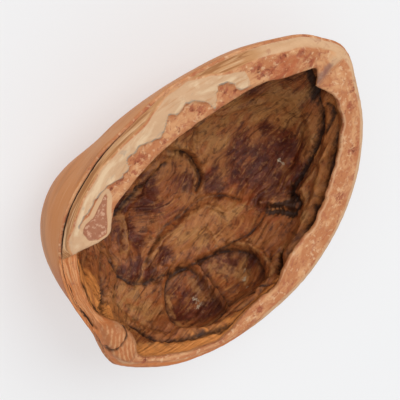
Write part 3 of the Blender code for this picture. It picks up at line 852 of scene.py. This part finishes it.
def finish(name, ground, layers, relief, **surface):
    """A dry shell finish: layers of colour over a ground, and fine relief, on one Principled shader."""
    material = bpy.data.materials.new(name)
    material.use_nodes = True
    tree = material.node_tree
    shader = tree.nodes["Principled BSDF"]
    for socket, value in surface.items():
        shader.inputs[socket.replace("_", " ")].default_value = value
    place = add(tree, "ShaderNodeTexCoord")
    in_mm = add(tree, "ShaderNodeVectorMath", {1: [1 / MM] * 3}, {0: place.outputs["Object"]},
                operation="MULTIPLY")
    grain = add(tree, "ShaderNodeAttribute", attribute_name="grain")
    coordinates = {"place": in_mm.outputs[0], "grain": grain.outputs["Vector"]}
    fields = {}

    def pattern_of(item):
        spread = add(tree, "ShaderNodeVectorMath", {1: [1 / s for s in item["size"]]},
                     {0: coordinates[item["on"]]}, operation="MULTIPLY")
        noise = add(tree, "ShaderNodeTexNoise",
                    {"W": item["seed"], "Scale": 1.0, "Detail": item["detail"], "Roughness": NOISE_ROUGHNESS,
                     "Distortion": item["bend"]},
                    {"Vector": spread.outputs[0]}, noise_dimensions="4D")
        if item["kind"] == "FBM":
            return noise.outputs["Fac"]
        # thin lines run where the noise passes through its middle value
        off_middle = add(tree, "ShaderNodeMath", {1: 0.5}, {0: noise.outputs["Fac"]}, operation="SUBTRACT")
        off_middle = add(tree, "ShaderNodeMath", {}, {0: off_middle.outputs[0]}, operation="ABSOLUTE")
        line = add(tree, "ShaderNodeMath", {1: -LINE_SHARPNESS, 2: 1.0}, {0: off_middle.outputs[0]},
                   operation="MULTIPLY_ADD")
        return line.outputs[0]

    below = None
    for item in layers:
        shift = {1: item["pattern_weight"], 2: -0.5 * item["pattern_weight"]}
        amount = add(tree, "ShaderNodeMath", shift, {0: pattern_of(item)}, operation="MULTIPLY_ADD")
        if item["field"]:
            if item["field"] not in fields:
                fields[item["field"]] = add(tree, "ShaderNodeAttribute", attribute_name=item["field"])
            amount = add(tree, "ShaderNodeMath", {1: item["field_weight"]},
                         {0: fields[item["field"]].outputs["Fac"], 2: amount.outputs[0]},
                         operation="MULTIPLY_ADD")
        amount = add(tree, "ShaderNodeMapRange",
                     {"From Min": item["low"], "From Max": item["high"], "To Max": item["strength"]},
                     {"Value": amount.outputs[0]}, interpolation_type="SMOOTHSTEP")
        links = {0: amount.outputs[0]}
        if below:
            links[6] = below.outputs[2]
        start = {7: paint(item["colour"])} if below else {6: paint(ground), 7: paint(item["colour"])}
        below = add(tree, "ShaderNodeMix", start, links, data_type="RGBA")
    tree.links.new(below.outputs[2], shader.inputs["Base Color"])

    bump = None
    for item, depth_mm in relief:
        links = {"Height": pattern_of(item)}
        if bump:
            links["Normal"] = bump.outputs[0]
        bump = add(tree, "ShaderNodeBump", {"Strength": 1.0, "Distance": depth_mm * MM}, links)
    tree.links.new(bump.outputs[0], shader.inputs["Normal"])
    return material


# %% The skin: smooth and orange-brown, streaked from end to end
skin = finish(
    "dry_walnut_skin", "#C68049",
    (
        layer("#CC9161", (9, 5, 9), on="grain", low=-0.05, high=0.2, strength=0.7),
        layer("#9C5E33", (11, 1.6, 9), on="grain", bend=0.6, low=0.0, high=0.2, strength=0.6, seed=3),
        layer("#D8A97E", (14, 0.9, 9), on="grain", bend=0.4, low=0.08, high=0.22, strength=0.55, seed=7),
        layer("#A9836B", (7, 0.45, 9), on="grain", bend=0.3, low=0.16, high=0.26, strength=0.5, seed=12),
        layer("#85502D", (1.2, 0.5, 9), on="grain", low=0.12, high=0.24, strength=0.5, seed=9),
        layer("#B3622F", (3, 1.5, 9), on="grain", field="broken", pattern_weight=1.2, low=0.2, high=0.8,
              strength=0.75, seed=39),
    ),
    ((layer("#000000", (3, 0.6, 9), on="grain", detail=5), 0.08),
     (layer("#000000", (0.35, 0.35, 0.35), detail=3), 0.02)),
    Roughness=0.55, IOR=1.45, Specular_IOR_Level=0.3,
)

# %% The seam: cream where it was covered, orange-pink and dull where it tore
seam = finish(
    "torn_walnut_seam", "#BC7A50",
    (
        # orange-pink ground with peach and red mottling
        layer("#D6A072", (2.6, 1.8, 2), on="grain", low=-0.06, high=0.12, strength=0.85),
        layer("#AC6444", (1.7, 1.1, 2), on="grain", bend=1.0, low=0.02, high=0.17, strength=0.7, seed=5),
        layer("#E3BC94", (0.6, 0.6, 0.6), bend=0.4, detail=5, low=0.04, high=0.15, strength=0.6, seed=6),
        layer("#96503A", (0.7, 0.5, 0.7), bend=0.9, low=0.06, high=0.18, strength=0.6, seed=8),
        layer("#9E5238", (1.1, 0.8, 1.1), bend=1.6, field="rust", field_weight=0.55, pattern_weight=1.7,
              low=0.3, high=0.6, strength=0.8, seed=10),
        layer("#6E3522", (0.5, 0.4, 0.5), bend=1.2, field="rust", field_weight=0.35, pattern_weight=1.6,
              low=0.3, high=0.55, strength=0.8, seed=20),
        layer("#D6AF88", (3.0, 1.0, 1.0), on="grain", field="pale_edge", pattern_weight=1.4, low=0.3,
              high=0.8, strength=0.85, seed=11),
        layer("#CE7A42", (1.5, 1.2, 1.5), field="broken", pattern_weight=1.4, low=0.2, high=0.8,
              strength=0.8, seed=13),
        layer("#8C4A2A", (2.4, 0.7, 1.5), on="grain", field="broken", field_weight=0.5,
              pattern_weight=1.4, low=0.52, high=0.72, strength=0.6, seed=38),
        layer("#E6AE7C", (3.0, 0.5, 1.5), on="grain", field="broken", field_weight=0.5,
              pattern_weight=1.3, low=0.46, high=0.66, strength=0.75, seed=21),
        layer("#B5623C", (1.6, 0.8, 1.6), bend=1.0, field="apex", field_weight=0.6, pattern_weight=1.6,
              low=0.3, high=0.8, strength=0.75, seed=28),
        layer("#A2604A", (1.4, 1.0, 1.4), bend=1.2, low=0.04, high=0.2, strength=0.5, seed=29),
        layer("#DDB088", (2.0, 0.6, 1.0), on="grain", field="lip_line", pattern_weight=2.4, low=0.4,
              high=1.0, strength=0.55, seed=30),
        layer("#7C4728", (4.0, 0.6, 1.0), on="grain", field="edge_line", pattern_weight=1.2, low=0.3,
              high=0.8, strength=0.8, seed=31),
        # painted shade in grey-brown along one side of the fold at the tip
        layer("#86625A", (1.2, 0.8, 1.2), on="grain", field="painted_fold_shade", pattern_weight=1.6, low=0.3, high=0.9,
              strength=0.7, seed=22),
        # the knob: pale fibres with brown between them
        layer("#B06C40", (1, 1, 1), field="knob", pattern_weight=1.6, low=0.2, high=0.9, strength=0.8,
              seed=23),
        layer("#D19B6E", (0.6, 0.6, 0.6), detail=5, field="knob_fibre", pattern_weight=2.2, low=0.3,
              high=1.1, strength=0.7, seed=24),
        # the slope outside the crest: tan with thin dark lines along it
        layer("#BC8859", (6, 0.9, 3), on="grain", field="stripes", low=0.25, high=0.75, strength=0.9),
        layer("#DDB78E", (9, 0.6, 3), on="grain", field="stripes", field_weight=0.5, low=0.44, high=0.62,
              strength=0.75, seed=12),
        layer("#9A6338", (14, 0.5, 3), on="grain", kind="LINES", detail=2.5, bend=0.5,
              pattern_weight=0.45, field="stripes", field_weight=0.5, low=0.48, high=0.68, strength=0.85,
              seed=2),
        # painted shade, nearly black, in the groove under the seam
        layer("#24170F", (3, 1, 1), on="grain", pattern_weight=0.3, field="groove", low=0.25, high=0.6,
              strength=0.95),
        # the cream layer, with painted shade in grey along its raised edge inside
        layer("#CDA580", (5, 2, 3), on="grain", pattern_weight=0.4, field="cream", low=0.0, high=0.12),
        layer("#E2C5A0", (4, 1.4, 3), on="grain", bend=0.8, field="in_cream", field_weight=0.5, low=0.46,
              high=0.64, strength=0.8, seed=3),
        layer("#BB8458", (5, 0.7, 3), on="grain", bend=0.8, field="in_cream", field_weight=0.5, low=0.53,
              high=0.70, strength=0.75, seed=4),
        layer("#A89482", (3, 1.0, 3), on="grain", bend=0.8, field="in_cream", field_weight=0.5, low=0.56,
              high=0.70, strength=0.6, seed=25),
        layer("#94887A", (1.4, 0.8, 1), on="grain", pattern_weight=1.4, field="cream_edge_shade", low=0.55,
              high=1.1, strength=0.8, seed=7),
        # the torn fibres at the end of the whole part, with their pale border
        layer("#D2AB85", (1, 1, 1), pattern_weight=0.2, field="fibre_ring", low=0.3, high=0.7, strength=0.9),
        layer("#A26A50", (0.5, 0.5, 0.5), pattern_weight=0.8, field="fibre_patch", low=0.3, high=0.7,
              strength=0.9),
        layer("#CFA184", (0.4, 0.4, 0.4), detail=3, pattern_weight=1.4, field="fibre_patch",
              field_weight=0.6, low=0.58, high=0.78, strength=0.85, seed=14),
        # painted shade, nearly black, in the knob's clefts
        layer("#2A1A12", (0.7, 0.7, 0.7), pattern_weight=0.9, field="crevice_shade", low=0.3, high=1.0,
              strength=0.85),
    ),
    ((layer("#000000", (0.6, 0.45, 0.6), detail=5), 0.12), (layer("#000000", (6, 0.3, 3), on="grain"), 0.05)),
    Roughness=0.68, IOR=1.45, Specular_IOR_Level=0.25,
)

# %% The lining: papery and brown, with tan veins, and painted shade in its cracks
lining = finish(
    "papery_walnut_lining", "#9E5A2E",
    (
        layer("#B07240", (5, 4, 4), low=-0.06, high=0.12, strength=0.8),
        layer("#5C2113", (4.0, 1.4, 3), on="grain", bend=0.6, detail=6, field="red", field_weight=0.42,
              pattern_weight=1.5, low=0.02, high=0.42, strength=0.85, seed=2),
        # paler tan coat, and painted light on the wall under the rim
        layer("#B8824C", (4.0, 1.4, 3), on="grain", bend=0.6, detail=6, field="tan", field_weight=0.42,
              pattern_weight=1.6, low=0.08, high=0.44, strength=0.85, seed=5),
        layer("#481C0E", (4.0, 0.6, 3), on="grain", bend=0.3, detail=6, low=0.0, high=0.17, strength=0.72,
              seed=6),
        layer("#4E2F2E", (3.0, 0.8, 3), on="grain", bend=0.5, detail=6, low=0.05, high=0.18,
              strength=0.45, seed=36),
        layer("#CC8A4C", (4.0, 0.4, 3), on="grain", bend=0.3, detail=6, low=0.03, high=0.18,
              strength=0.55, seed=16),
        layer("#A04A1C", (2.4, 2.0, 2.4), bend=1.0, low=0.05, high=0.2, strength=0.5, seed=26),
        layer("#4A1A0F", (2.0, 0.9, 2.4), on="grain", bend=0.4, detail=6, field="red", field_weight=0.42,
              pattern_weight=1.6, low=0.15, high=0.5, strength=0.7, seed=37),
        layer("#34140B", (0.9, 0.6, 0.9), bend=0.5, detail=6, low=0.0, high=0.15, strength=0.55, seed=17),
        layer("#CE9058", (0.7, 0.45, 0.7), bend=0.3, detail=6, low=0.02, high=0.2, strength=0.35, seed=27),
        layer("#2E120B", (2, 2, 2), field="bowl_shade", pattern_weight=0.8, low=0.2, high=1.0,
              strength=0.55, seed=32),
        # tan veins, with painted highlights along lit ledges and bowl walls
        layer("#B67E4A", (0.8, 0.6, 0.8), bend=0.3, detail=6, field="tan_line", field_weight=0.6,
              pattern_weight=2.2, low=0.25, high=0.75, strength=0.65, seed=33),
        layer("#E8964E", (1.0, 6, 6), on="grain", pattern_weight=0.4, field="bare", low=0.3, high=0.7,
              strength=0.9),
        layer("#8E4E26", (9.0, 0.5, 3), on="grain", field="bare", field_weight=0.5, low=0.46, high=0.62,
              strength=0.75, seed=4),
        # pale flecks: painted highlights where light glints
        layer("#C6B69A", (0.6, 0.45, 0.6), bend=0.6, detail=6, field="painted_glint", field_weight=0.6,
              pattern_weight=2.2, low=0.38, high=0.7, strength=0.8),
        # painted shade, nearly black, in the cracks, folds and bowl borders
        layer("#2A170F", (0.9, 0.9, 0.9), pattern_weight=1.4, field="crevice_shade", low=0.2, high=0.95,
              strength=0.9),
    ),
    ((layer("#000000", (4.0, 0.7, 3), on="grain", detail=6, bend=0.5), 0.5),
     (layer("#000000", (1.2, 1.2, 1.2), detail=6, bend=0.4), 0.35)),
    Roughness=0.45, IOR=1.45, Specular_IOR_Level=0.35,
)

# %% [markdown]
# ## Fine relief
# The torn seam is pitted and the lining wrinkled. That relief could be painted as bump alone, but then its
# edges and shadows would be missing from the mesh. A Geometry Nodes tree pushes each vertex along its normal
# by noise of a given width and depth, wherever that part of the shell has it.

# %% Relief tree
# Name of the relief, its part, whether it reads the grain, its size in mm, its kind of noise, its depth
RELIEFS = (
    ("Lining wrinkle", 2, False, (2.6, 2.6, 2.6), "FBM", 0.36),
    ("Lining crease", 2, False, (1.3, 1.3, 1.3), "RIDGED_MULTIFRACTAL", -0.08),
    ("Lining fibre", 2, True, (7.0, 1.0, 3.0), "FBM", 0.35),
    ("Seam pit", 1, False, (0.8, 0.8, 0.8), "FBM", 0.16),
    ("Seam ridge", 1, True, (9.0, 0.5, 3.0), "FBM", 0.12),
    ("Skin furrow", 0, True, (8.0, 1.1, 9.0), "FBM", 0.12),
)
RELIEF_SEED = 4.0


def relief_tree():
    """Pushes the shell's vertices along their normals by several noises, one for each relief."""
    tree = bpy.data.node_groups.new("shell relief", "GeometryNodeTree")
    tree.interface.new_socket("Shell", in_out="INPUT", socket_type="NodeSocketGeometry")
    tree.interface.new_socket("Seed", in_out="INPUT", socket_type="NodeSocketFloat")
    tree.interface.new_socket("Shell", in_out="OUTPUT", socket_type="NodeSocketGeometry")
    for name, *_ in RELIEFS:
        tree.interface.new_socket(name + " depth", in_out="INPUT", socket_type="NodeSocketFloat")
    inputs, output = add(tree, "NodeGroupInput"), add(tree, "NodeGroupOutput")
    position = add(tree, "GeometryNodeInputPosition")
    place = add(tree, "ShaderNodeVectorMath", {1: [1 / MM] * 3}, {0: position.outputs[0]},
                operation="MULTIPLY")
    grain = add(tree, "GeometryNodeInputNamedAttribute", {"Name": "grain"}, data_type="FLOAT_VECTOR")
    part = add(tree, "GeometryNodeInputNamedAttribute", {"Name": "part"}, data_type="FLOAT")
    total = None
    for name, on_part, reads_grain, size, kind, _ in RELIEFS:
        source = grain.outputs["Attribute"] if reads_grain else place.outputs[0]
        spread = add(tree, "ShaderNodeVectorMath", {1: [1 / s for s in size]}, {0: source},
                     operation="MULTIPLY")
        noise = add(tree, "ShaderNodeTexNoise", {"Scale": 1.0, "Detail": 3.0},
                    {"Vector": spread.outputs[0], "W": inputs.outputs["Seed"]}, noise_dimensions="4D",
                    noise_type=kind)
        here = add(tree, "FunctionNodeCompare", {"B": on_part, "Epsilon": 0.1},
                   {"A": part.outputs["Attribute"]},
                   data_type="FLOAT", operation="EQUAL")
        depth_here = add(tree, "ShaderNodeMath", {},
                         {0: here.outputs[0], 1: inputs.outputs[name + " depth"]}, operation="MULTIPLY")
        centred = add(tree, "ShaderNodeMath", {1: 0.5}, {0: noise.outputs["Fac"]}, operation="SUBTRACT")
        sources = {0: centred.outputs[0], 1: depth_here.outputs[0]}
        if total:
            sources[2] = total.outputs[0]
        total = add(tree, "ShaderNodeMath", {2: 0.0}, sources, operation="MULTIPLY_ADD")
    normal = add(tree, "GeometryNodeInputNormal")
    off_ground = add(tree, "ShaderNodeSeparateXYZ", {}, {0: place.outputs[0]})
    clear = add(tree, "ShaderNodeMapRange", {"From Min": 0.3, "From Max": 2.5},
                {"Value": off_ground.outputs["Z"]})
    amount = add(tree, "ShaderNodeMath", {}, {0: total.outputs[0], 1: clear.outputs[0]}, operation="MULTIPLY")
    push = add(tree, "ShaderNodeVectorMath", {}, {0: normal.outputs[0], "Scale": amount.outputs[0]},
               operation="SCALE")
    moved = add(tree, "GeometryNodeSetPosition", {},
                {"Geometry": inputs.outputs["Shell"], "Offset": push.outputs[0]})
    last = add(tree, "GeometryNodeRealizeInstances", {}, {"Geometry": moved.outputs[0]})
    for number, material in enumerate((skin, seam, lining)):
        here = add(tree, "FunctionNodeCompare", {"B": number, "Epsilon": 0.45},
                   {"A": part.outputs["Attribute"]},
                   data_type="FLOAT", operation="EQUAL")
        last = add(tree, "GeometryNodeSetMaterial", {"Material": material},
                   {"Geometry": last.outputs[0], "Selection": here.outputs[0]})
    tree.links.new(last.outputs[0], output.inputs[0])
    return tree


relief = shell.modifiers.new("relief", "NODES")
relief.node_group = relief_tree()
sizes = {name + " depth": depth * MM for name, *_, depth in RELIEFS}
sizes["Seed"] = RELIEF_SEED
for item in relief.node_group.interface.items_tree:
    if item.item_type == "SOCKET" and item.in_out == "INPUT" and item.name in sizes:
        relief[item.identifier] = sizes[item.name]
for material in (skin, seam, lining):
    fine_mesh.materials.append(material)

graph = bpy.context.evaluated_depsgraph_get()
final_mesh = bpy.data.meshes.new_from_object(
    shell.evaluated_get(graph), preserve_all_data_layers=True, depsgraph=graph)
shell.modifiers.remove(relief)
shell.data = final_mesh
final_mesh.shade_smooth()
place = np.empty(len(final_mesh.vertices) * 3)
final_mesh.vertices.foreach_get("co", place)
place = place.reshape(-1, 3)
place[:, 2] = np.maximum(place[:, 2], 0)
final_mesh.vertices.foreach_set("co", place.ravel())
final_mesh.update()
print("shell: materials", [m.name for m in final_mesh.materials], "faces", len(final_mesh.polygons))

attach(shell, "root")
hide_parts("walnut_half_shell")

# %% [markdown]
# ## Floor, light and camera
# The shell lies on plain pale paper, which glows a little as painted light. A broad lamp stands over the tip
# and an even pale surround fills the shadows. The camera looks down from beside the shell and is rolled,
# which gives the photograph's view of it.

# %% Floor
floor_mesh = bpy.data.meshes.new("floor")
bm = bmesh.new()
bmesh.ops.create_grid(bm, x_segments=1, y_segments=1, size=2.0)
bm.to_mesh(floor_mesh)
bm.free()
floor = bpy.data.objects.new("floor", floor_mesh)
bpy.context.scene.collection.objects.link(floor)
paper = bpy.data.materials.new("glowing_white_paper")
paper.use_nodes = True
paper_shader = paper.node_tree.nodes["Principled BSDF"]
# The paper glows a little, like a light table, which keeps the shadow faint and warm
PAPER = {
    "Base Color": paint("#A7B1B4"), "Emission Color": paint("#FFF3F1"), "Emission Strength": 0.48,
    "Roughness": 0.9, "Specular IOR Level": 0.0,
}
for socket, value in PAPER.items():
    paper_shader.inputs[socket].default_value = value
floor_mesh.materials.append(paper)

# %% Light
world = bpy.data.worlds.new("pale surround")
world.use_nodes = True
SURROUND_STRENGTH = 0.42
world.node_tree.nodes["Background"].inputs["Color"].default_value = paint("#FFFFFF")
world.node_tree.nodes["Background"].inputs["Strength"].default_value = SURROUND_STRENGTH
bpy.context.scene.world = world

# Name, the way it comes from, strength and angular width of each lamp
LAMPS = (
    ("soft key", (0.85, 0.30, 1.15), 1.3, 0.7),
    ("front fill", (0.0, 0.5, 0.87), 0.8, 1.0),
    ("far fill", (-0.4, -0.6, 1.0), 0.35, 1.2),
)
for name, comes_from, strength, spread in LAMPS:
    lamp = bpy.data.lights.new(name, "SUN")
    lamp.energy = strength
    lamp.angle = spread
    holder = bpy.data.objects.new(name, lamp)
    holder.rotation_mode = "QUATERNION"
    holder.rotation_quaternion = Vector(comes_from).to_track_quat("Z", "Y")
    bpy.context.scene.collection.objects.link(holder)

# %% Camera
# The point at which the camera looks, the way it stands from there, and how far it is rolled
CAMERA_AIM = (-1.947, 3.751, RIM_HEIGHT)
CAMERA_DISTANCE = 113.974
CAMERA_AZIMUTH, CAMERA_ELEVATION, CAMERA_ROLL = 90, 60, 127.08
LENS, SENSOR_WIDTH = 90, 36
view = bpy.data.cameras.new("camera")
view.lens = LENS
view.sensor_width = SENSOR_WIDTH
view.clip_start, view.clip_end = 0.01, 10
camera = bpy.data.objects.new("camera", view)
back = Vector(direction(CAMERA_AZIMUTH, -CAMERA_ELEVATION))
level_way = Vector((0, 0, 1)).cross(back).normalized()
roll = np.radians(CAMERA_ROLL)
right = level_way * np.cos(roll) + back.cross(level_way) * np.sin(roll)
facing = Matrix((right, back.cross(right), back)).transposed().to_4x4()
where = Vector(CAMERA_AIM) + CAMERA_DISTANCE * back - Vector((*middle, 0))
camera.matrix_world = Matrix.Translation(where * MM) @ facing
bpy.context.scene.collection.objects.link(camera)
bpy.context.scene.camera = camera
bpy.context.scene.view_settings.view_transform = "Standard"
print("camera, mm:", [round(c, 1) for c in where])
